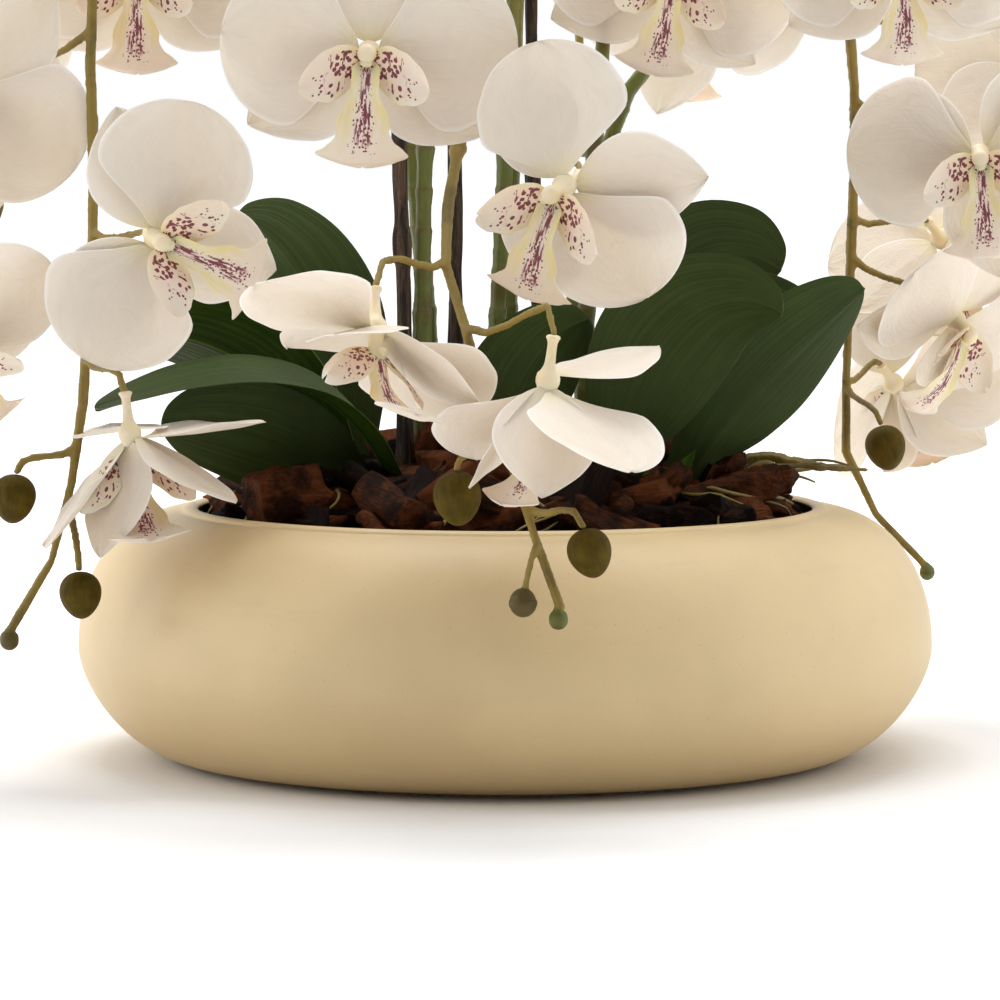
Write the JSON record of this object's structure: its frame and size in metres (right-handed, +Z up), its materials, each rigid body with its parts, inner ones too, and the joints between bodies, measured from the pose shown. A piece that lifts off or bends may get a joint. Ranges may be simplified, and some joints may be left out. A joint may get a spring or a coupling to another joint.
{
  "type": "potted orchid",
  "caption": "Moth orchid in a low round bowl: strap leaves, twig stakes and arching spikes of open flowers and hanging buds over chipped bark.",
  "frame": {"origin": "centre of the flat foot that the bowl stands on", "axes": "+Z up, -Y to the front of the arrangement, +X to the viewer's right"},
  "size_m": [0.5973, 0.5175, 0.5396],
  "materials": {
    "bowl": "matte",
    "pad": "satin",
    "bark": "matte",
    "twig": "matte",
    "root": "matte",
    "leaf": "satin",
    "petal": "matte",
    "bud": "matte",
    "stem": "satin"
  },
  "bodies": {
    "root": {"bowl": "bowl", "foot_pad_1": "pad", "foot_pad_2": "pad", "foot_pad_3": "pad", "twig_stake_left": "twig", "twig_stake_middle": "twig", "twig_stake_right": "twig", "air_root_right": "root", "air_root_left": "root", "leaf_left_upright": "leaf", "leaf_left_long": "leaf", "leaf_left_curled": "leaf", "leaf_left_low": "leaf", "leaf_middle": "leaf", "leaf_right_front": "leaf", "leaf_right_low": "leaf", "leaf_right_back": "leaf", "leaf_right_upright": "leaf", "bark_chunk_round": "bark", "bark_chunk_front": "bark", "bark_chunk_right": "bark", "bark_chunk_left": "bark", "flower_left_1": "petal", "flower_left_2": "petal", "flower_left_3": "petal", "flower_left_4": "petal", "flower_left_5": "petal", "flower_left_6": "petal", "flower_left_7": "petal", "flower_front_1": "petal", "flower_front_2": "petal", "flower_front_3": "petal", "flower_front_4": "petal", "flower_front_5": "petal", "flower_right_1": "petal", "flower_right_2": "petal", "flower_right_3": "petal", "flower_right_4": "petal", "flower_right_5": "petal", "flower_right_6": "petal", "flower_left_back_1": "petal", "flower_left_back_2": "petal", "flower_left_back_3": "petal", "flower_right_back_1": "petal", "flower_right_back_2": "petal", "flower_back_1": "petal", "flower_back_2": "petal", "bud_left_outer": "bud", "bud_left_low": "bud", "bud_front_large": "bud", "bud_front_side": "bud", "bud_right": "bud", "spike_left": "stem", "spike_front": "stem", "spike_right": "stem", "spike_left_back": "stem", "spike_right_back": "stem", "spike_back": "stem", "bark_bed": "bark"}
  },
  "joints": []
}
